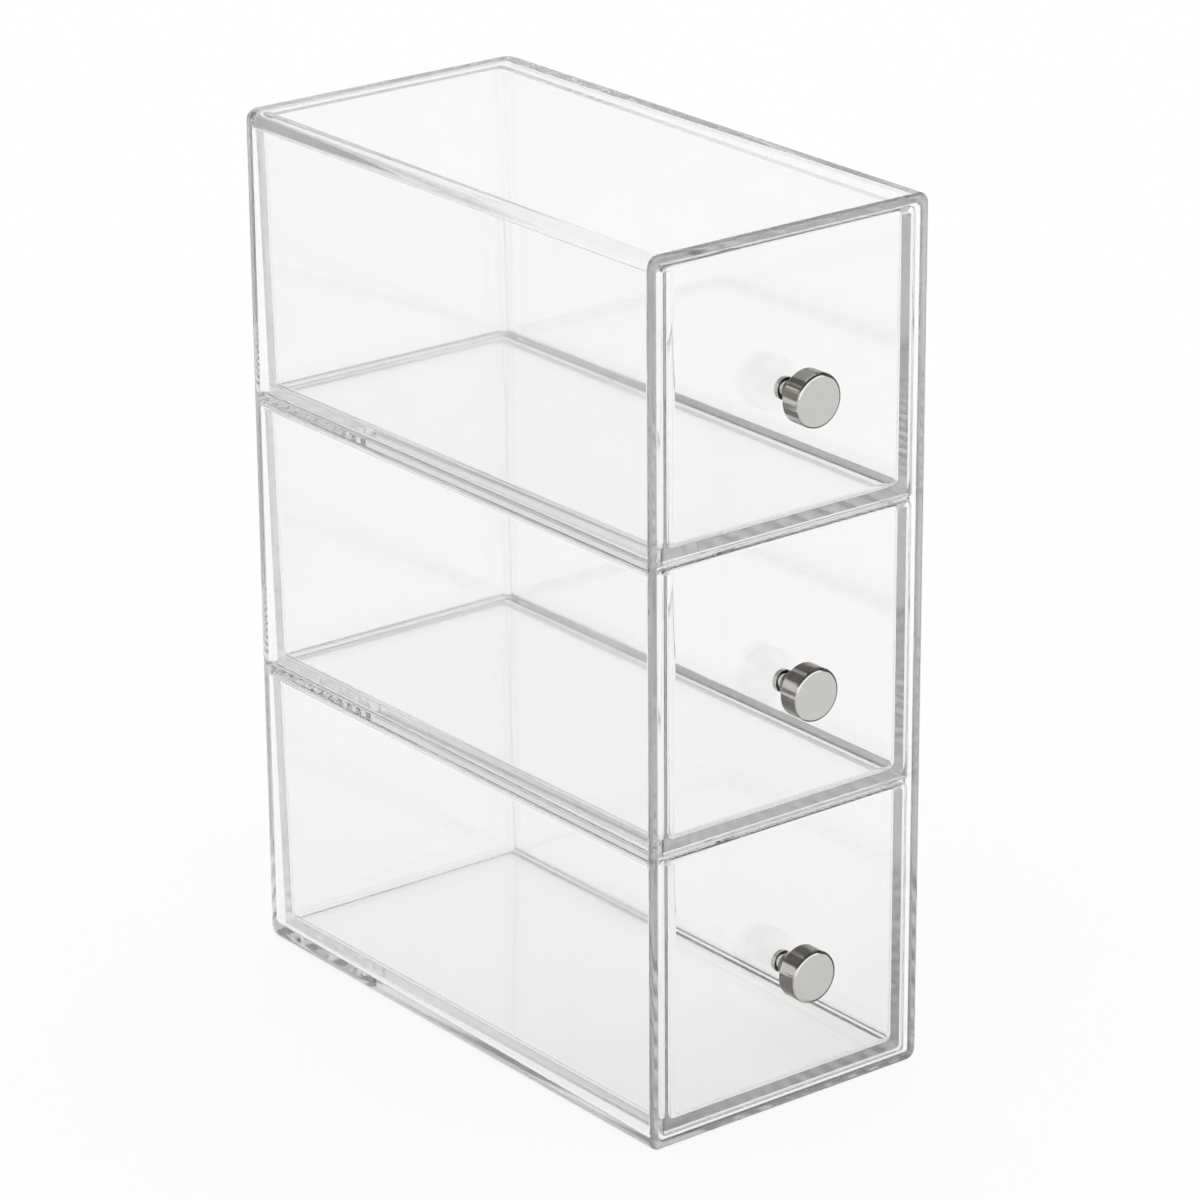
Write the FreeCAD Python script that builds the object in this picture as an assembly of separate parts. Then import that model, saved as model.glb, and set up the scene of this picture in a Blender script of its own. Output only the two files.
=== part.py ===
import FreeCAD, Part
import math
import os

# Clear craft drawers: one moulded cabinet with three trays, each pulled by a chrome knob.
# Sizes are in millimetres. +Z is up, the drawers open towards -Y, and the origin is the middle
# of the flat base that the cabinet stands on.

# --- Cabinet shell ---------------------------------------------------------------------------
CABINET_WIDTH = 95.25
CABINET_DEPTH = 184.15
CABINET_HEIGHT = 254.0
SIDE_WALL = 2.9             # at the mouth
SHELL_WALL = 2.6            # top and base, at the mouth
SHELL_DRAFT = 1.4           # what the mould's draft adds to those walls at the back
BACK_WALL = 2.4
SHELF_THICKNESS = 1.7       # at the front edge
SHELF_DRAFT = 0.15          # what the draft adds to each face of a shelf at the back
SHELL_ROUND = 3.2           # outer edges along the top, base and sides
BACK_CORNER_ROUND = 5.0     # the two upright edges at the back
RIM_ROUND = 1.1             # outer edge of the front rim
RIM_INNER_ROUND = 0.8       # edge where the rim turns into the mouth
CAVITY_ROUND = 2.0          # inside corners of the drawer bays

# --- Drawers, named from the bottom up -------------------------------------------------------
DRAWERS = ("bottom", "middle", "top")
FRONT_THICKNESS = 2.7
FRONT_CORNER_ROUND = 1.5
FRONT_EDGE_ROUND = 0.9
TRAY_WALL = 2.4
TRAY_FLOOR = 2.4
TRAY_BACK_LEAN = 2.0        # degrees that the back wall leans outwards
TRAY_BACK_ROUND = 1.5       # outer corners of the back wall
TRAY_BOTTOM_ROUND = 1.0
TRAY_INNER_ROUND = 2.2

# --- Clearances ------------------------------------------------------------------------------
FRONT_TOP_GAP = 0.65        # top drawer front under the cabinet's top
FRONT_BASE_GAP = 0.75       # bottom drawer front above the cabinet's base
FRONT_SPLIT_GAP = 0.95      # between two drawer fronts
FRONT_SIDE_GAP = 1.35       # drawer front to each side of the mouth
TRAY_SIDE_GAP = 0.9         # tray to each side of its bay, at the narrow back end
SEAT_GAP = 0.3              # tray to the surface that carries it
STOP_GAP = 0.3              # tray to the back wall, and drawer front to the shelf edge
RIM_CLEARANCE = 1.75        # tray rim under the shelf above, at the back

# --- Knob and its screw ----------------------------------------------------------------------
KNOB_DIAMETER = 15.3
KNOB_THICKNESS = 6.5
KNOB_FRONT_ROUND = 1.2
KNOB_BACK_ROUND = 0.5
KNOB_DROP = 1.3             # knob's centre below the middle of the drawer front
NECK_DIAMETER = 6.5
NECK_LENGTH = 5.4
SCREW_DIAMETER = 4.0
SCREW_ENGAGEMENT = 8.0      # length of screw inside the knob
SCREW_END_GAP = 0.7         # from the screw's tip to the bottom of the knob's hole
THREAD_CLEARANCE = 0.05     # screw in the knob's hole, on the radius
HOLE_CLEARANCE = 0.25       # screw in the drawer front's hole, on the radius
HEAD_DIAMETER = 6.6
HEAD_HEIGHT = 2.1
HEAD_ROUND = 0.9
RECESS_LENGTH = 4.0         # arms of the cross recess, tip to tip
RECESS_WIDTH = 0.9
RECESS_DEPTH = 1.3

# --- Modelling aids --------------------------------------------------------------------------
OVERRUN = 1.0               # how far a cutting tool runs past the face that it opens
NEAR = 0.001                # tolerance when an edge is picked by its place

# --- Worked out from the sizes above ---------------------------------------------------------
FRONT_Y = -CABINET_DEPTH / 2
BACK_Y = CABINET_DEPTH / 2
BAY_BACK_Y = BACK_Y - BACK_WALL
FRONT_BACK_Y = FRONT_Y + FRONT_THICKNESS
SHELF_FRONT_Y = FRONT_BACK_Y + STOP_GAP
MOUTH_HALF = CABINET_WIDTH / 2 - SIDE_WALL
MOUTH_FLOOR = SHELL_WALL
MOUTH_CEILING = CABINET_HEIGHT - SHELL_WALL

FRONT_HALF = MOUTH_HALF - FRONT_SIDE_GAP
FRONTS_SPAN = MOUTH_CEILING - FRONT_TOP_GAP - MOUTH_FLOOR - FRONT_BASE_GAP
PITCH = (FRONTS_SPAN + FRONT_SPLIT_GAP) / len(DRAWERS)
FRONT_HEIGHT = PITCH - FRONT_SPLIT_GAP
SHELF_BACK_THICKNESS = SHELF_THICKNESS + 2 * SHELF_DRAFT

TRAY_HALF = MOUTH_HALF - SHELL_DRAFT - TRAY_SIDE_GAP
TRAY_HEIGHT = PITCH - SEAT_GAP - SHELF_BACK_THICKNESS - RIM_CLEARANCE
TRAY_BACK_Y = BAY_BACK_Y - STOP_GAP
LEAN_SLOPE = math.tan(math.radians(TRAY_BACK_LEAN))
BACK_WALL_RUN = TRAY_WALL / math.cos(math.radians(TRAY_BACK_LEAN))


def front_base_z(index):
    """Height of the lower edge of a drawer's front."""
    return MOUTH_FLOOR + FRONT_BASE_GAP + index * PITCH


def tray_base_z(index):
    """Height of the underside of a drawer's tray."""
    return MOUTH_FLOOR + SHELL_DRAFT + SEAT_GAP + index * PITCH


def knob_z(index):
    """Height of the axis of a drawer's knob and screw."""
    return front_base_z(index) + FRONT_HEIGHT / 2 - KNOB_DROP


def draft_share(y):
    """Share of the draft that has built up at y, from 0 at the mouth to 1 at the bay's back."""
    return (y - FRONT_Y) / (BAY_BACK_Y - FRONT_Y)


def bay_half(y):
    """Half the width of the mouth and the bays at y."""
    return MOUTH_HALF - SHELL_DRAFT * draft_share(y)


def shelf_middle_z(index):
    """Height of the middle of the shelf that carries a drawer."""
    return tray_base_z(index) - SEAT_GAP - SHELF_BACK_THICKNESS / 2


def shelf_half(y):
    """Half the thickness of a shelf at y."""
    return SHELF_THICKNESS / 2 + SHELF_DRAFT * draft_share(y)


def bay_floor(index, y):
    """Height at y of the surface that carries a drawer."""
    if index == 0:
        return MOUTH_FLOOR + SHELL_DRAFT * draft_share(y)
    return shelf_middle_z(index) + shelf_half(y)


def bay_ceiling(index, y):
    """Height at y of the surface above a drawer."""
    if index == len(DRAWERS) - 1:
        return MOUTH_CEILING - SHELL_DRAFT * draft_share(y)
    return shelf_middle_z(index + 1) - shelf_half(y)


def drafted_hollow(low_index, high_index, front_y, back_y):
    """Block that hollows out the shell from one bay's floor to another's ceiling."""
    return Part.makeWedge(
        -bay_half(front_y), front_y, bay_floor(low_index, front_y),
        bay_floor(low_index, back_y), -bay_half(back_y),
        bay_half(front_y), back_y, bay_ceiling(high_index, front_y),
        bay_ceiling(high_index, back_y), bay_half(back_y))


def pick_edges(shape, wanted):
    """Edges of a shape whose bounding box passes the test."""
    return [edge for edge in shape.Edges if wanted(edge.BoundBox)]


def prism_across(profile, half_width):
    """Solid between -half_width and half_width in X, from a closed list of (y, z) corners."""
    corners = [FreeCAD.Vector(-half_width, y, z) for y, z in profile]
    face = Part.Face(Part.makePolygon(corners + corners[:1]))
    return face.extrude(FreeCAD.Vector(2 * half_width, 0, 0))


def cylinder_along_y(radius, start_y, end_y, z):
    """Round bar on the line x = 0 at height z, from start_y back to end_y."""
    return Part.makeCylinder(radius, end_y - start_y, FreeCAD.Vector(0, start_y, z), FreeCAD.Vector(0, 1, 0))


# --- Cabinet ---------------------------------------------------------------------------------
def shell_block():
    """Outside of the cabinet with its edges rounded."""
    corner = FreeCAD.Vector(-CABINET_WIDTH / 2, FRONT_Y, 0)
    block = Part.makeBox(CABINET_WIDTH, CABINET_DEPTH, CABINET_HEIGHT, corner)
    upright = pick_edges(block, lambda box: box.ZLength > NEAR and box.YMin > BACK_Y - NEAR)
    block = block.makeFillet(BACK_CORNER_ROUND, upright)
    level = pick_edges(
        block,
        lambda box: box.ZLength < NEAR and box.YMax > FRONT_Y + NEAR)
    block = block.makeFillet(SHELL_ROUND, level)
    rim = pick_edges(block, lambda box: box.YMax < FRONT_Y + NEAR)
    return block.makeFillet(RIM_ROUND, rim)


def rounded_hollow(low_index, high_index, front_y, back_y):
    """Hollowing block with its long edges and its back edges rounded."""
    block = drafted_hollow(low_index, high_index, front_y, back_y)
    inner = pick_edges(block, lambda box: box.YMax > front_y + NEAR)
    return block.makeFillet(CAVITY_ROUND, inner)


def mouth_hollow():
    """Shallow opening in front of the shelves, in which the drawer fronts stand."""
    block = drafted_hollow(0, len(DRAWERS) - 1, FRONT_Y - OVERRUN, SHELF_FRONT_Y)
    long_edges = pick_edges(block, lambda box: box.YLength > NEAR)
    return block.makeFillet(CAVITY_ROUND, long_edges)


def cabinet():
    """Moulded shell with one open bay for each drawer."""
    shell = shell_block().cut(mouth_hollow())
    for index in range(len(DRAWERS)):
        shell = shell.cut(rounded_hollow(index, index, SHELF_FRONT_Y - OVERRUN, BAY_BACK_Y))
    inner_rim = pick_edges(
        shell,
        lambda box: box.YMax < FRONT_Y + NEAR
        and max(-box.XMin, box.XMax) < MOUTH_HALF + NEAR + SHELL_DRAFT
        and box.ZMin > MOUTH_FLOOR - NEAR
        and box.ZMax < MOUTH_CEILING + NEAR)
    return shell.makeFillet(RIM_INNER_ROUND, inner_rim)


# --- Drawer ----------------------------------------------------------------------------------
def tray_back_y(index, z):
    """Outer face of the leaning back wall at height z."""
    return TRAY_BACK_Y - (tray_base_z(index) + TRAY_HEIGHT - z) * LEAN_SLOPE


def tray_profile(index, front_y, low_z, high_z, wall):
    """Side view of the tray as (y, z) corners, with its back face moved forward by wall."""
    return [
        (front_y, low_z),
        (tray_back_y(index, low_z) - wall, low_z),
        (tray_back_y(index, high_z) - wall, high_z),
        (front_y, high_z)]


def tray_block(index):
    """Outside of the tray, from inside the drawer front to the leaning back."""
    base = tray_base_z(index)
    start_y = FRONT_Y + FRONT_THICKNESS / 2
    block = prism_across(tray_profile(index, start_y, base, base + TRAY_HEIGHT, 0), TRAY_HALF)
    upright = pick_edges(block, lambda box: box.ZLength > NEAR and box.YMin > 0)
    block = block.makeFillet(TRAY_BACK_ROUND, upright)
    bottom = pick_edges(block, lambda box: box.ZMax < base + NEAR and box.YMax > start_y + NEAR)
    return block.makeFillet(TRAY_BOTTOM_ROUND, bottom)


def tray_hollow(index):
    """Inside of the tray with rounded corners, open at the top."""
    floor = tray_base_z(index) + TRAY_FLOOR
    top = tray_base_z(index) + TRAY_HEIGHT + OVERRUN
    profile = tray_profile(index, FRONT_BACK_Y, floor, top, BACK_WALL_RUN)
    block = prism_across(profile, TRAY_HALF - TRAY_WALL)
    inner = pick_edges(block, lambda box: box.ZMin < top - NEAR)
    return block.makeFillet(TRAY_INNER_ROUND, inner)


def front_panel(index):
    """Flat drawer front with rounded corners and edges."""
    corner = FreeCAD.Vector(-FRONT_HALF, FRONT_Y, front_base_z(index))
    panel = Part.makeBox(2 * FRONT_HALF, FRONT_THICKNESS, FRONT_HEIGHT, corner)
    across = pick_edges(panel, lambda box: box.YLength > NEAR)
    panel = panel.makeFillet(FRONT_CORNER_ROUND, across)
    outline = pick_edges(panel, lambda box: box.YLength < NEAR)
    return panel.makeFillet(FRONT_EDGE_ROUND, outline)


def drawer(index):
    """Tray and front in one moulded piece, with the hole for the knob's screw."""
    body = front_panel(index).fuse(tray_block(index))
    body = body.cut(tray_hollow(index))
    hole_radius = SCREW_DIAMETER / 2 + HOLE_CLEARANCE
    hole = cylinder_along_y(hole_radius, FRONT_Y - OVERRUN, FRONT_BACK_Y + OVERRUN, knob_z(index))
    return body.cut(hole)


# --- Knob and screw --------------------------------------------------------------------------
def knob(index):
    """Round disc on a short neck, with a blind hole for the screw."""
    z = knob_z(index)
    disc_back_y = FRONT_Y - NECK_LENGTH
    disc_front_y = disc_back_y - KNOB_THICKNESS
    disc = cylinder_along_y(KNOB_DIAMETER / 2, disc_front_y, disc_back_y, z)
    front_edge = pick_edges(disc, lambda box: box.YMax < disc_front_y + NEAR)
    disc = disc.makeFillet(KNOB_FRONT_ROUND, front_edge)
    back_edge = pick_edges(disc, lambda box: box.YMin > disc_back_y - NEAR)
    disc = disc.makeFillet(KNOB_BACK_ROUND, back_edge)
    neck = cylinder_along_y(NECK_DIAMETER / 2, disc_back_y - KNOB_THICKNESS / 2, FRONT_Y, z)
    hole_end_y = FRONT_Y - SCREW_ENGAGEMENT - SCREW_END_GAP
    hole = cylinder_along_y(SCREW_DIAMETER / 2 + THREAD_CLEARANCE, hole_end_y, FRONT_Y + OVERRUN, z)
    return disc.fuse(neck).cut(hole)


def screw(index):
    """Pan-head screw with a cross recess, driven from inside the drawer."""
    z = knob_z(index)
    head_end_y = FRONT_BACK_Y + HEAD_HEIGHT
    head = cylinder_along_y(HEAD_DIAMETER / 2, FRONT_BACK_Y, head_end_y, z)
    crown = pick_edges(head, lambda box: box.YMin > head_end_y - NEAR)
    head = head.makeFillet(HEAD_ROUND, crown)
    shank = cylinder_along_y(SCREW_DIAMETER / 2, FRONT_Y - SCREW_ENGAGEMENT, FRONT_BACK_Y, z)
    body = head.fuse(shank)
    for width, height in ((RECESS_LENGTH, RECESS_WIDTH), (RECESS_WIDTH, RECESS_LENGTH)):
        corner = FreeCAD.Vector(-width / 2, head_end_y - RECESS_DEPTH, z - height / 2)
        body = body.cut(Part.makeBox(width, RECESS_DEPTH + OVERRUN, height, corner))
    return body


def save(shape, node):
    """Write one solid as parts/NODE.step."""
    shape.removeSplitter().exportStep(os.path.join("parts", node + ".step"))


os.makedirs("parts", exist_ok=True)
save(cabinet(), "cabinet")
for number, name in enumerate(DRAWERS):
    save(drawer(number), name + "_drawer")
    save(knob(number), name + "_knob")
    save(screw(number), name + "_knob_screw")
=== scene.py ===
"""Clear craft storage drawers: the finishes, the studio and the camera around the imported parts.

Lengths are in metres, angles are in degrees, and texture scales are in cells to the metre.
"""
import logging
import math
from dataclasses import dataclass
from enum import Enum

import bpy
from mathutils import Matrix, Vector


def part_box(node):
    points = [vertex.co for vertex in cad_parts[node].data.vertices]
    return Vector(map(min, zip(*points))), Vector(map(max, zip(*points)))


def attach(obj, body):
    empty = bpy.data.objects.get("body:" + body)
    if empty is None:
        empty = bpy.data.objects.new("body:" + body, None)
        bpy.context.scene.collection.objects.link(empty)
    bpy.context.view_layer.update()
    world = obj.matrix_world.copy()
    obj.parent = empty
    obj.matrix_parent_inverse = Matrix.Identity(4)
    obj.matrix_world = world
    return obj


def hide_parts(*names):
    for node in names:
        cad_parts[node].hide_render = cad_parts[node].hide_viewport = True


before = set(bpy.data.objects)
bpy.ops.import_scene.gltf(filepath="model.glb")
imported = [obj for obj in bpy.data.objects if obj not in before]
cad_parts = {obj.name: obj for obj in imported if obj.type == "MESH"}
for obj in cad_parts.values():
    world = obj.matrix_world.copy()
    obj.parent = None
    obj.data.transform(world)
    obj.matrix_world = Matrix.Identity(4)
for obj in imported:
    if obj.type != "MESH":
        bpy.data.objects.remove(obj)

QUARTERS = 4
QUARTER_TURN = math.tau / QUARTERS

Colour = tuple[float, float, float, float]
Span = tuple[float, float]
Point = tuple[float, float, float]
Ring = tuple[float, float]
Socket = bpy.types.NodeSocket

WHITE: Colour = (1.0, 1.0, 1.0, 1.0)
WHOLE: Span = (0.0, 1.0)

log = logging.getLogger("craft_drawers")


class Level(Enum):
    """The three drawers, named from the bottom up as their parts are."""

    BOTTOM = "bottom"
    MIDDLE = "middle"
    TOP = "top"


class Finish(Enum):
    """What the pieces are made of."""

    CLEAR_PLASTIC = "clear_moulded_plastic"
    CHROME = "polished_chrome"
    ZINC_PLATE = "zinc_plate"


class NodeSheet:
    """A node tree under construction, with short ways to add and join its nodes."""

    def __init__(self, tree: bpy.types.NodeTree) -> None:
        """Empties the tree.

        Args:
            tree: The node tree of a material or of the world.
        """
        self.tree = tree
        tree.nodes.clear()

    def add(self, kind: str, **settings: object) -> bpy.types.Node:
        """Adds a node and sets its properties.

        Args:
            kind: Blender's name for the node type.
            **settings: Properties of the node by name.

        Returns:
            The new node.
        """
        node = self.tree.nodes.new(kind)
        for name, value in settings.items():
            setattr(node, name, value)
        return node

    def join(self, source: Socket, target: Socket) -> None:
        """Links an output to an input."""
        self.tree.links.new(source, target)

    def noise(self, place: Socket, scale: float, detail: float) -> Socket:
        """Adds a noise texture.

        Args:
            place: Coordinates that the noise is sampled at.
            scale: Noise cells in one metre.
            detail: How many finer octaves are added.

        Returns:
            The noise value, around 0.5.
        """
        node = self.add("ShaderNodeTexNoise")
        node.inputs["Scale"].default_value = scale
        node.inputs["Detail"].default_value = detail
        self.join(place, node.inputs["Vector"])
        return node.outputs["Fac"]

    def ramp(self, value: Socket, span: Span, at_low: float, at_high: float) -> Socket:
        """Maps a value smoothly from one range to another and holds it at the ends.

        Args:
            value: The value to map.
            span: Where the result is at_low and where it is at_high.
            at_low: Result below the span.
            at_high: Result above the span.

        Returns:
            The mapped value.
        """
        node = self.add("ShaderNodeMapRange", interpolation_type="SMOOTHSTEP")
        names = ("From Min", "From Max", "To Min", "To Max")
        for name, number in zip(names, (*span, at_low, at_high)):
            node.inputs[name].default_value = number
        self.join(value, node.inputs["Value"])
        return node.outputs["Result"]

    def calc(self, operation: str, *operands: Socket | float) -> Socket:
        """Adds a math node.

        Args:
            operation: Blender's name for the operation.
            *operands: Sockets or numbers.

        Returns:
            The result.
        """
        node = self.add("ShaderNodeMath", operation=operation)
        for socket, operand in zip(node.inputs, operands):
            if isinstance(operand, (int, float)):
                socket.default_value = operand
            else:
                self.join(operand, socket)
        return node.outputs["Value"]

    def mix(self, share: Socket, first: Socket | Colour, second: Socket | Colour) -> Socket:
        """Mixes two colours.

        Args:
            share: How much of the second colour shows.
            first: Colour at a share of 0.
            second: Colour at a share of 1.

        Returns:
            The mixed colour.
        """
        node = self.add("ShaderNodeMix", data_type="RGBA")
        self.join(share, node.inputs["Factor"])
        for name, colour in (("A", first), ("B", second)):
            if isinstance(colour, tuple):
                node.inputs[name].default_value = colour
            else:
                self.join(colour, node.inputs[name])
        return node.outputs["Result"]

    def bump(self, height: Socket, distance: float) -> Socket:
        """Adds a bump.

        Args:
            height: Height of the surface, from 0 to 1.
            distance: What a height of 1 stands for, in metres.

        Returns:
            The surface's normal.
        """
        node = self.add("ShaderNodeBump")
        node.inputs["Strength"].default_value = 1.0
        node.inputs["Distance"].default_value = distance
        self.join(height, node.inputs["Height"])
        return node.outputs["Normal"]

    def axes(self, place: Socket) -> tuple[Socket, Socket, Socket]:
        """Splits coordinates.

        Args:
            place: The coordinates.

        Returns:
            Their X, Y and Z.
        """
        node = self.add("ShaderNodeSeparateXYZ")
        self.join(place, node.inputs["Vector"])
        return node.outputs["X"], node.outputs["Y"], node.outputs["Z"]

    def glow(self, colour: Colour, strength: float) -> Socket:
        """Adds a shader that gives off light.

        Args:
            colour: Colour of the light.
            strength: Its level, where 1 is plain white.

        Returns:
            The shader.
        """
        node = self.add("ShaderNodeEmission")
        node.inputs["Color"].default_value = colour
        node.inputs["Strength"].default_value = strength
        return node.outputs["Emission"]

    def blend(self, share: Socket, first: Socket, second: Socket) -> Socket:
        """Blends two shaders.

        Args:
            share: How much of the second shader shows.
            first: Shader at a share of 0.
            second: Shader at a share of 1.

        Returns:
            The blended shader.
        """
        node = self.add("ShaderNodeMixShader")
        for source, target in zip((share, first, second), node.inputs):
            self.join(source, target)
        return node.outputs["Shader"]

    def mirrored(self, path: bpy.types.Node) -> Socket:
        """Tells the rays that a surface has mirrored from those that have passed through it.

        Args:
            path: The light path node of this tree.

        Returns:
            1 for a mirrored ray, 0 for any other.
        """
        # Clear plastic marks the rays that it lets through as glossy too, so those are taken out.
        not_passed = self.calc("SUBTRACT", 1.0, path.outputs["Is Transmission Ray"])
        return self.calc("MULTIPLY", path.outputs["Is Glossy Ray"], not_passed)

    def finish(self, surface: Socket, volume: Socket | None = None) -> None:
        """Sends the shaders to the material's output.

        Args:
            surface: Shader of the surface.
            volume: Shader of the inside, if it has one.
        """
        output = self.add("ShaderNodeOutputMaterial")
        self.join(surface, output.inputs["Surface"])
        if volume is not None:
            self.join(volume, output.inputs["Volume"])


def new_material(name: str) -> tuple[bpy.types.Material, NodeSheet]:
    """Makes a material without nodes.

    Args:
        name: What the material is called.

    Returns:
        The material and its node tree.
    """
    material = bpy.data.materials.new(name)
    material.use_nodes = True
    return material, NodeSheet(material.node_tree)


def new_object(name: str, points: list[Point] | list[Vector],
               faces: list[tuple[int, ...]]) -> bpy.types.Object:
    """Makes a mesh object and puts it in the scene.

    Args:
        name: What the object and its mesh are called.
        points: The corners.
        faces: The corners' numbers, face by face.

    Returns:
        The object.
    """
    mesh = bpy.data.meshes.new(name)
    mesh.from_pydata(points, [], faces)
    mesh.validate()
    item = bpy.data.objects.new(name, mesh)
    bpy.context.scene.collection.objects.link(item)
    return item


@dataclass(frozen=True)
class ClearPlastic:
    """Polished clear moulded plastic, grey in its depth.

    It has a trace of haze, of tint and of moulding ripples.
    """

    refraction: float = 1.5
    clarity: float = 0.995
    depth_colour: Colour = (0.0, 0.03, 0.04, 1.0)
    depth_density: float = 2.6
    light_tint: Colour = (0.999, 0.999, 1.0, 1.0)
    deep_tint: Colour = (0.994, 0.995, 0.996, 1.0)
    tint_scale: float = 14.0
    tint_detail: float = 2.0
    haze_low: float = 0.02
    haze_high: float = 0.038
    haze_scale: float = 60.0
    haze_detail: float = 3.0
    haze_span: Span = (0.35, 0.75)
    ripple_scale: float = 10.0
    ripple_detail: float = 1.0
    ripple_height: float = 0.000004

    def build(self, name: str) -> bpy.types.Material:
        """Makes the material.

        Args:
            name: What the material is called.

        Returns:
            The finished material.
        """
        material, sheet = new_material(name)
        place = sheet.add("ShaderNodeTexCoord").outputs["Object"]
        shader = sheet.add("ShaderNodeBsdfPrincipled")
        shader.inputs["IOR"].default_value = self.refraction
        shader.inputs["Transmission Weight"].default_value = self.clarity
        tint = sheet.noise(place, self.tint_scale, self.tint_detail)
        colour = sheet.mix(tint, self.light_tint, self.deep_tint)
        sheet.join(colour, shader.inputs["Base Color"])
        haze = sheet.noise(place, self.haze_scale, self.haze_detail)
        roughness = sheet.ramp(haze, self.haze_span, self.haze_low, self.haze_high)
        sheet.join(roughness, shader.inputs["Roughness"])
        ripple = sheet.noise(place, self.ripple_scale, self.ripple_detail)
        sheet.join(sheet.bump(ripple, self.ripple_height), shader.inputs["Normal"])
        depth = sheet.add("ShaderNodeVolumeAbsorption")
        depth.inputs["Color"].default_value = self.depth_colour
        depth.inputs["Density"].default_value = self.depth_density
        sheet.finish(shader.outputs["BSDF"], depth.outputs["Volume"])
        return material


@dataclass(frozen=True)
class PlatedMetal:
    """Bright plated metal: polished flat faces and fine wear, with a painted shade on the sides and
    lighter painted highlight streaks, standing in for the dark room and the highlights that the sides
    mirror.
    """

    fresh: Colour
    worn: Colour
    # Painted shade: the darker colour of the sides, standing in for the dark room that they mirror.
    painted_side_shade: Colour
    polish_low: float
    polish_high: float
    polish_span: Span = (0.3, 0.7)
    # Span of the normal along the axis over which the painted shade gives way to the faces' colour.
    painted_shade_span: Span = (0.35, 0.8)
    # The streaks are painted highlights on the painted side shade.
    streak_stretch: Point = (1.0, 0.04, 1.0)
    streak_scale: float = 420.0
    streak_detail: float = 2.0
    streak_span: Span = (0.5, 0.62)
    streak_strength: float = 0.9
    wear_scale: float = 900.0
    wear_detail: float = 4.0
    wave_scale: float = 260.0
    wave_detail: float = 1.0
    wave_height: float = 0.00001

    def build(self, name: str) -> bpy.types.Material:
        """Makes the material.

        Args:
            name: What the material is called.

        Returns:
            The finished material.
        """
        material, sheet = new_material(name)
        source = sheet.add("ShaderNodeTexCoord")
        place = source.outputs["Object"]
        shader = sheet.add("ShaderNodeBsdfPrincipled")
        shader.inputs["Metallic"].default_value = 1.0
        wear = sheet.noise(place, self.wear_scale, self.wear_detail)
        flat = sheet.mix(wear, self.fresh, self.worn)
        # Painted reflection: the sides get the dark painted shade, broken by lighter painted
        # highlight streaks; flat faces keep the metal's own colour and wear.
        painted_side_shade = sheet.mix(self.streaks(sheet, place), self.painted_side_shade, flat)
        _, along_axis, _ = sheet.axes(source.outputs["Normal"])
        facing = sheet.ramp(sheet.calc("ABSOLUTE", along_axis), self.painted_shade_span, *WHOLE)
        sheet.join(sheet.mix(facing, painted_side_shade, flat), shader.inputs["Base Color"])
        polish = sheet.ramp(wear, self.polish_span, self.polish_low, self.polish_high)
        sheet.join(polish, shader.inputs["Roughness"])
        wave = sheet.noise(place, self.wave_scale, self.wave_detail)
        sheet.join(sheet.bump(wave, self.wave_height), shader.inputs["Normal"])
        sheet.finish(shader.outputs["BSDF"])
        return material

    def streaks(self, sheet: NodeSheet, place: Socket) -> Socket:
        """Draws the lighter streaks that run along the axis, painted highlights on the painted side
        shade.

        Args:
            sheet: The material's node tree.
            place: Coordinates on the object.

        Returns:
            How strongly the flat faces' colour shows in the streaks.
        """
        stretch = sheet.add("ShaderNodeMapping")
        stretch.inputs["Scale"].default_value = self.streak_stretch
        sheet.join(place, stretch.inputs["Vector"])
        grain = sheet.noise(stretch.outputs["Vector"], self.streak_scale, self.streak_detail)
        return sheet.ramp(grain, self.streak_span, 0.0, self.streak_strength)


RECIPES: dict[Finish, ClearPlastic | PlatedMetal] = {
    Finish.CLEAR_PLASTIC: ClearPlastic(),
    Finish.CHROME: PlatedMetal(
        fresh=(0.60, 0.595, 0.575, 1.0),
        worn=(0.565, 0.56, 0.54, 1.0),
        # Painted shade: chrome sides far darker than the faces, for the dark room they mirror.
        painted_side_shade=(0.19, 0.18, 0.16, 1.0),
        polish_low=0.0,
        polish_high=0.03,
    ),
    Finish.ZINC_PLATE: PlatedMetal(
        fresh=(0.76, 0.76, 0.74, 1.0),
        worn=(0.66, 0.66, 0.64, 1.0),
        # Painted shade: the zinc's sides a little darker than its faces.
        painted_side_shade=(0.62, 0.61, 0.58, 1.0),
        polish_low=0.12,
        polish_high=0.26,
    ),
}

Palette = dict[Finish, bpy.types.Material]


def mix_palette() -> Palette:
    """Makes the material of every finish.

    Returns:
        The materials by finish.
    """
    return {finish: recipe.build(finish.value) for finish, recipe in RECIPES.items()}


def dress(node_name: str, material: bpy.types.Material) -> bpy.types.Object:
    """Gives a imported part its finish.

    Args:
        node_name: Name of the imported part.
        material: Its finish.

    Returns:
        The part's object.
    """
    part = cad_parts[node_name]
    for slot in part.material_slots:
        slot.material = material
    return part


@dataclass
class Cabinet:
    """The moulded shell with its three open bays."""

    palette: Palette
    node_name: str = "cabinet"

    def build(self) -> list[bpy.types.Object]:
        """Dresses the shell.

        Returns:
            The shell's objects.
        """
        return [dress(self.node_name, self.palette[Finish.CLEAR_PLASTIC])]


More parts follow.
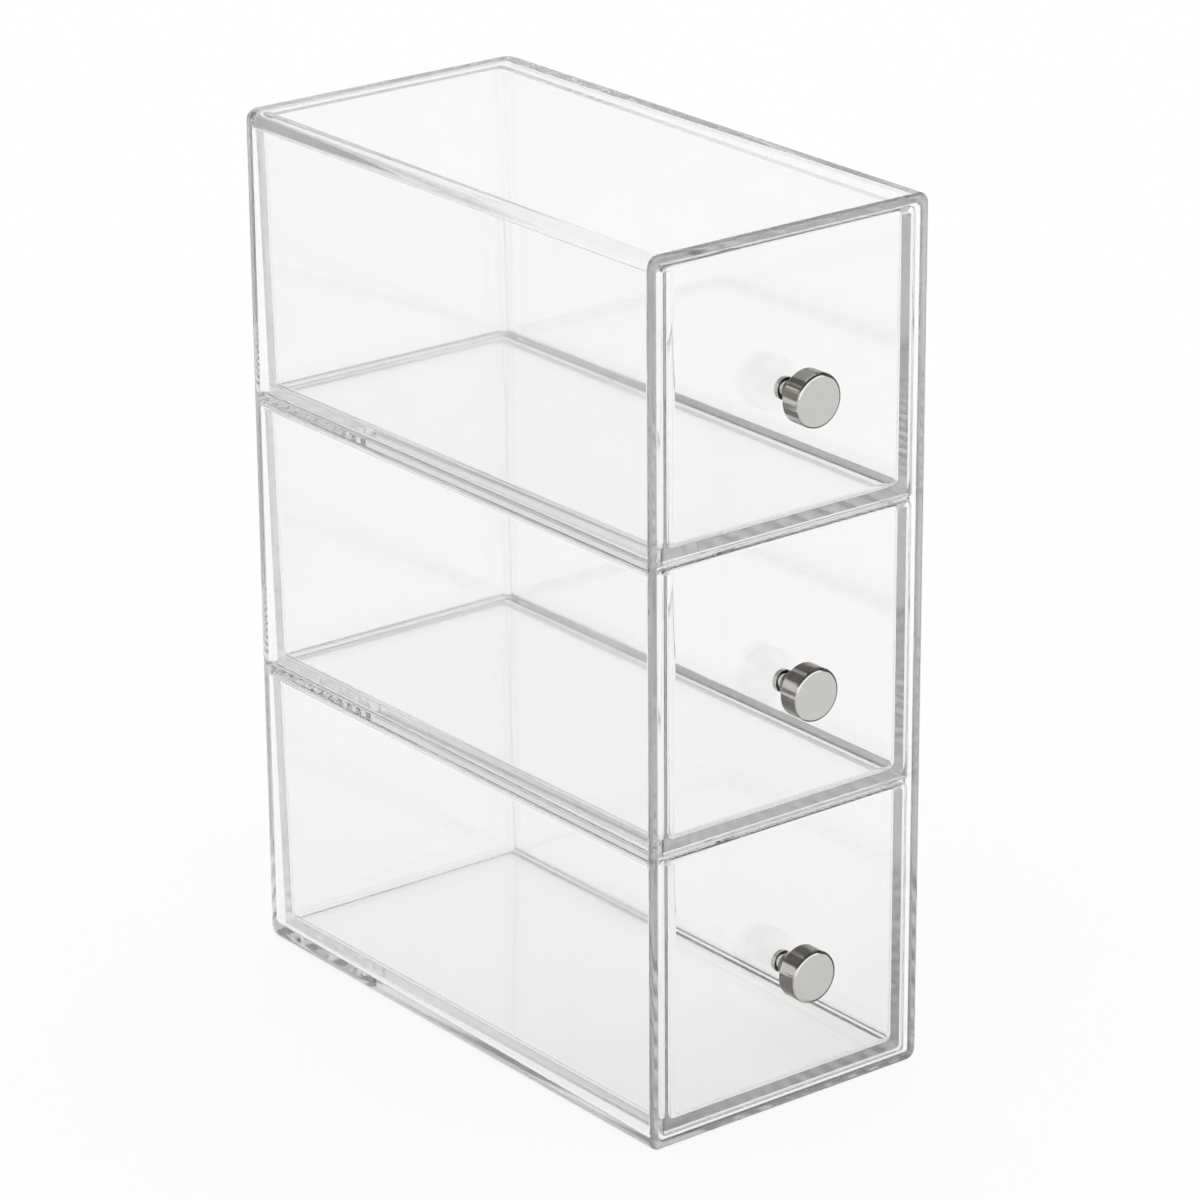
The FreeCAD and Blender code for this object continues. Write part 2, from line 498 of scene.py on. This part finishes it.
@dataclass
class KnobScrew:
    """Pan-head screw with a rolled thread and a cross recess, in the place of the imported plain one.

    Two faces at one place show black through clear plastic, so the head stands off by seat_gap.
    """

    palette: Palette
    level: Level
    head_radius: float = 0.0033
    head_height: float = 0.0021
    head_round: float = 0.0009
    round_steps: int = 6
    seat_gap: float = 0.00003
    crest_radius: float = 0.002
    root_radius: float = 0.00175
    pitch: float = 0.0007
    rows_per_pitch: int = 6
    ridge_stretch: float = 1.3
    tip_length: float = 0.0007
    tip_radius: float = 0.0014
    recess_reach: float = 0.002
    recess_half_width: float = 0.00045
    recess_depth: float = 0.0013
    recess_taper: float = 0.7
    recess_overrun: float = 0.0005
    facets: int = 40
    crease_angle: float = 35.0

    def build(self) -> bpy.types.Object:
        """Builds the screw, cuts its recess and sets it in the drawer.

        Returns:
            The screw's object.
        """
        node_name = f"{self.level.value}_knob_screw"
        low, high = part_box(node_name)
        crown = Vector(((low.x + high.x) / 2, high.y, (low.z + high.z) / 2))
        screw = self.turned_body(crown, high.y - low.y)
        self.cut_recess(screw, crown)
        screw.data.shade_smooth()
        screw.data.set_sharp_from_angle(angle=math.radians(self.crease_angle))
        screw.data.materials.clear()
        screw.data.materials.append(self.palette[Finish.ZINC_PLATE])
        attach(screw, f"drawer_{self.level.value}")
        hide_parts(node_name)
        return screw

    def head_rings(self) -> list[Ring]:
        """Lists the head's rings.

        Returns:
            Radius and depth under the crown of each ring, from the crown to the seat.
        """
        rings = []
        for step in range(self.round_steps + 1):
            turn = QUARTER_TURN * step / self.round_steps
            radius = self.head_radius - self.head_round * (1 - math.sin(turn))
            rings.append((radius, self.head_round * (1 - math.cos(turn))))
        return rings + [(self.head_radius, self.head_height - self.seat_gap)]

    def thread_radius(self, depth: float, turn: float) -> float:
        """Gives the radius of the thread, whose ridge is a triangle with its top cut flat.

        Args:
            depth: Depth under the crown.
            turn: Angle around the screw, in radians.

        Returns:
            The radius there.
        """
        phase = (depth / self.pitch - turn / math.tau) % 1.0
        ridge = min(1.0, self.ridge_stretch * (1 - abs(2 * phase - 1)))
        return self.root_radius + (self.crest_radius - self.root_radius) * ridge

    def rows(self, turns: list[float], length: float) -> list[list[Ring]]:
        """Lists the screw's rows of points, from the crown to the tip.

        Args:
            turns: Angles around the screw, in radians.
            length: From the crown to the tip.

        Returns:
            For each row, the radius and the depth under the crown at each angle.
        """
        rows = [[ring for _ in turns] for ring in self.head_rings()]
        start = self.head_height - self.seat_gap
        reach = length - self.tip_length - start
        count = round(reach / self.pitch * self.rows_per_pitch)
        for index in range(count + 1):
            depth = start + reach * index / count
            rows.append([(self.thread_radius(depth, turn), depth) for turn in turns])
        rows.append([(self.tip_radius, length) for _ in turns])
        return rows

    def turned_body(self, crown: Vector, length: float) -> bpy.types.Object:
        """Builds the screw without its recess.

        Args:
            crown: Middle of the head's crown.
            length: From the crown to the tip.

        Returns:
            The screw's object.
        """
        turns = [math.tau * index / self.facets for index in range(self.facets)]
        rows = self.rows(turns, length)
        points = [crown + Vector((radius * math.cos(turn), -depth, radius * math.sin(turn)))
                  for row in rows for turn, (radius, depth) in zip(turns, row)]
        faces = [tuple(range(self.facets))]
        for row in range(len(rows) - 1):
            first = row * self.facets
            second = first + self.facets
            for index in range(self.facets):
                following = (index + 1) % self.facets
                faces.append((first + following, first + index,
                              second + index, second + following))
        tip = range(len(points) - self.facets, len(points))
        faces.append(tuple(reversed(tip)))
        return new_object(f"{self.level.value}_screw", points, faces)

    def cut_recess(self, screw: bpy.types.Object, crown: Vector) -> None:
        """Cuts the tapered cross recess into the head.

        Args:
            screw: The screw without its recess.
            crown: Middle of the head's crown.
        """
        reach, half = self.recess_reach, self.recess_half_width
        arm = [(reach, -half), (reach, half), (half, half)]
        outline = []
        for quarter in range(QUARTERS):
            turn = Matrix.Rotation(quarter * QUARTER_TURN, 2)
            outline += [turn @ Vector(corner) for corner in arm]
        floor = (self.recess_taper, -self.recess_depth)
        mouth = (1.0, self.recess_overrun)
        points = []
        for size, rise in (floor, mouth):
            points += [crown + Vector((flat.x * size, rise, flat.y * size)) for flat in outline]
        sides = len(outline)
        faces = [tuple(range(sides)), tuple(reversed(range(sides, 2 * sides)))]
        for index in range(sides):
            following = (index + 1) % sides
            faces.append((following, index, sides + index, sides + following))
        punch = new_object("recess_punch", points, faces)
        cut = screw.modifiers.new("recess", "BOOLEAN")
        cut.operation = "DIFFERENCE"
        cut.solver = "EXACT"
        cut.object = punch
        evaluated = screw.evaluated_get(bpy.context.evaluated_depsgraph_get())
        cut_mesh = bpy.data.meshes.new_from_object(evaluated)
        screw.modifiers.clear()
        screw.data = cut_mesh
        bpy.data.objects.remove(punch)


@dataclass
class Drawer:
    """One pull-out drawer with its knob and the screw that holds the knob."""

    palette: Palette
    level: Level

    def build(self) -> list[bpy.types.Object]:
        """Dresses the tray and the knob, and makes the screw.

        Returns:
            The tray with its front, the knob and the screw.
        """
        name = self.level.value
        return [
            dress(f"{name}_drawer", self.palette[Finish.CLEAR_PLASTIC]),
            dress(f"{name}_knob", self.palette[Finish.CHROME]),
            KnobScrew(self.palette, self.level).build(),
        ]


@dataclass
class Studio:
    """White table in a soft white room.

    Its card, ceiling and lamp show in mirrors only, and so does the painted dark reflection on the
    table's right part;
    its rear wall shows through clear plastic only. Edges in the room are parts of a unit direction. A
    level of 1 is plain white.
    """

    table_side: float = 12.0
    table_drop: float = 0.00015
    table_colour: Colour = (0.96, 0.96, 0.96, 1.0)
    table_glow: float = 0.88
    table_glow_in_mirrors: float = 0.5
    # Painted dark reflection: the black that mirrors show on the table's right part.
    mirror_dark_level: float = 0.12
    mirror_dark_slant: float = 0.5
    mirror_dark_edge: Span = (-0.14, -0.1)
    mirror_dark_start: Span = (0.0, 0.03)
    room_level: float = 1.0
    side_card_level: float = 0.12
    side_card_edge: Span = (0.66, 0.78)
    ceiling_level: float = 0.1
    ceiling_edge: Span = (0.44, 0.52)
    ceiling_reach: Span = (-0.05, 0.1)
    front_lamp_gain: float = 0.55
    front_lamp_edge: Span = (0.62, 0.74)
    rear_dim: float = 0.6
    rear_foot: Span = (0.42, 0.47)
    rear_head: Span = (0.8, 0.9)
    rear_reach: Span = (0.0, 0.2)

    def build(self) -> list[bpy.types.Object]:
        """Builds the table and the surrounding light.

        Returns:
            The table.
        """
        self.light()
        return [self.table()]

    def table(self) -> bpy.types.Object:
        """Makes the table top under the cabinet.

        Returns:
            The table's object.
        """
        half = self.table_side / 2
        corners = [(-half, -half, 0.0), (half, -half, 0.0), (half, half, 0.0), (-half, half, 0.0)]
        top = new_object("table_top", corners, [tuple(range(len(corners)))])
        top.data.materials.append(self.table_finish())
        top.location.z = -self.table_drop
        return top

    def table_finish(self) -> bpy.types.Material:
        """Makes the table's white, with a soft share of the object's shadow, and the painted dark
        reflection on its right part.

        Returns:
            The table's material.
        """
        material, sheet = new_material("white_table")
        path = sheet.add("ShaderNodeLightPath")
        paint = sheet.add("ShaderNodeBsdfDiffuse")
        paint.inputs["Color"].default_value = self.table_colour
        passed = path.outputs["Is Transmission Ray"]
        seen = path.outputs["Is Camera Ray"]
        straight = sheet.calc("MULTIPLY", sheet.calc("MAXIMUM", passed, seen), self.table_glow)
        glossy = path.outputs["Is Glossy Ray"]
        shiny = sheet.calc("MULTIPLY", glossy, self.table_glow_in_mirrors)
        share = sheet.calc("MAXIMUM", straight, shiny)
        lit = sheet.blend(share, paint.outputs["BSDF"], sheet.glow(WHITE, self.room_level))
        # Painted dark reflection: mirrored rays see the table's right part black.
        mirror_black = sheet.calc("MULTIPLY", sheet.mirrored(path), self.painted_mirror_dark(sheet))
        no_light = sheet.glow(WHITE, 0.0)
        sheet.finish(sheet.blend(mirror_black, lit, no_light))
        return material

    def painted_mirror_dark(self, sheet: NodeSheet) -> Socket:
        """Marks the part of the table, to the right of a slanting edge, that mirrors show black: a
        painted dark reflection.

        Args:
            sheet: The table's node tree.

        Returns:
            How much of the table's light the painted dark reflection takes away.
        """
        right, back, _ = sheet.axes(sheet.add("ShaderNodeNewGeometry").outputs["Position"])
        beyond = sheet.calc("ADD", back, sheet.calc("MULTIPLY", right, self.mirror_dark_slant))
        dark = sheet.ramp(beyond, self.mirror_dark_edge, 0.0, 1.0 - self.mirror_dark_level)
        return sheet.calc("MULTIPLY", dark, sheet.ramp(right, self.mirror_dark_start, *WHOLE))

    def light(self) -> None:
        """Sets the world: white, with the room that mirrors show and the rear wall."""
        world = bpy.data.worlds.new("soft_room")
        world.use_nodes = True
        bpy.context.scene.world = world
        sheet = NodeSheet(world.node_tree)
        path = sheet.add("ShaderNodeLightPath")
        right, back, up = sheet.axes(sheet.add("ShaderNodeTexCoord").outputs["Generated"])
        shown = sheet.calc("SUBTRACT", self.mirror_room(sheet, right, back, up), self.room_level)
        in_mirrors = sheet.calc("MULTIPLY", sheet.mirrored(path), shown)
        passed = path.outputs["Is Transmission Ray"]
        through_plastic = sheet.calc("MULTIPLY", passed, self.rear_wall(sheet, back, up))
        change = sheet.calc("SUBTRACT", in_mirrors, through_plastic)
        background = sheet.add("ShaderNodeBackground")
        background.inputs["Color"].default_value = WHITE
        sheet.join(sheet.calc("ADD", change, self.room_level), background.inputs["Strength"])
        output = sheet.add("ShaderNodeOutputWorld")
        sheet.join(background.outputs["Background"], output.inputs["Surface"])

    def mirror_room(self, sheet: NodeSheet, right: Socket, back: Socket, up: Socket) -> Socket:
        """Lays out the room in mirrors: a dark card, a dim ceiling in front and a front lamp.

        Args:
            sheet: The world's node tree.
            right: How far a direction points to +X.
            back: How far it points to +Y.
            up: How far it points to +Z.

        Returns:
            The room's level in that direction.
        """
        front = sheet.calc("MULTIPLY", back, -1.0)
        card = sheet.ramp(right, self.side_card_edge, 1.0, self.side_card_level)
        overhead = sheet.calc("MULTIPLY", sheet.ramp(up, self.ceiling_edge, *WHOLE),
                              sheet.ramp(front, self.ceiling_reach, *WHOLE))
        ceiling = sheet.ramp(overhead, WHOLE, 1.0, self.ceiling_level)
        lamp = sheet.ramp(front, self.front_lamp_edge, 1.0, 1.0 + self.front_lamp_gain)
        return sheet.calc("MULTIPLY", sheet.calc("MULTIPLY", card, ceiling), lamp)

    def rear_wall(self, sheet: NodeSheet, back: Socket, up: Socket) -> Socket:
        """Lays out the dim wall that is seen at a slant through clear edges.

        Args:
            sheet: The world's node tree.
            back: How far a direction points to +Y.
            up: How far it points to +Z.

        Returns:
            How much darker than the room the wall is.
        """
        band = sheet.calc("MULTIPLY", sheet.ramp(up, self.rear_foot, 0.0, self.rear_dim),
                          sheet.ramp(up, self.rear_head, 1.0, 0.0))
        return sheet.calc("MULTIPLY", band, sheet.ramp(back, self.rear_reach, *WHOLE))


@dataclass
class ProductCamera:
    """Long lens that looks down at the front and the left side.

    The lens and the sensor are in millimetres.
    """

    aim: Point = (0.0037, -0.0050, 0.1228)
    distance: float = 1.4663
    azimuth: float = -37.84
    elevation: float = 20.917
    roll: float = -0.42
    lens: float = 156.456
    sensor: float = 36.0

    def build(self) -> bpy.types.Object:
        """Makes the camera and sets it as the scene's active one.

        Returns:
            The camera's object.
        """
        data = bpy.data.cameras.new("product_camera")
        data.lens = self.lens
        data.sensor_width = self.sensor
        camera = bpy.data.objects.new("product_camera", data)
        bpy.context.scene.collection.objects.link(camera)
        turn = math.radians(self.azimuth)
        rise = math.radians(self.elevation)
        flat = math.cos(rise)
        back = Vector((math.sin(turn) * flat, -math.cos(turn) * flat, math.sin(rise)))
        place = Matrix.Translation(Vector(self.aim) + back * self.distance)
        looking = (-back).to_track_quat("-Z", "Y").to_matrix().to_4x4()
        tilt = Matrix.Rotation(math.radians(self.roll), 4, "Z")
        camera.matrix_world = place @ looking @ tilt
        bpy.context.scene.camera = camera
        return camera


def set_view(bounces: int = 64) -> None:
    """Shows colours as written, and lets light pass all the clear walls behind one another.

    Args:
        bounces: How many surfaces a ray may pass.
    """
    scene = bpy.context.scene
    scene.view_settings.view_transform = "Standard"
    scene.cycles.max_bounces = bounces
    scene.cycles.transmission_bounces = bounces
    scene.cycles.glossy_bounces = bounces
    scene.cycles.transparent_max_bounces = bounces


def main() -> None:
    """Builds the object, the studio and the camera, in that order."""
    logging.basicConfig(level=logging.INFO, format="%(name)s: %(message)s")
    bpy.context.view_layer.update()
    palette = mix_palette()
    assemblies = [Cabinet(palette)] + [Drawer(palette, level) for level in Level]
    for assembly in assemblies:
        for piece in assembly.build():
            log.info("%s: %s", type(assembly).__name__, piece.name)
    for prop in Studio().build():
        log.info("studio: %s", prop.name)
    log.info("camera: %s", ProductCamera().build().name)
    set_view()


if __name__ == "__main__":
    main()
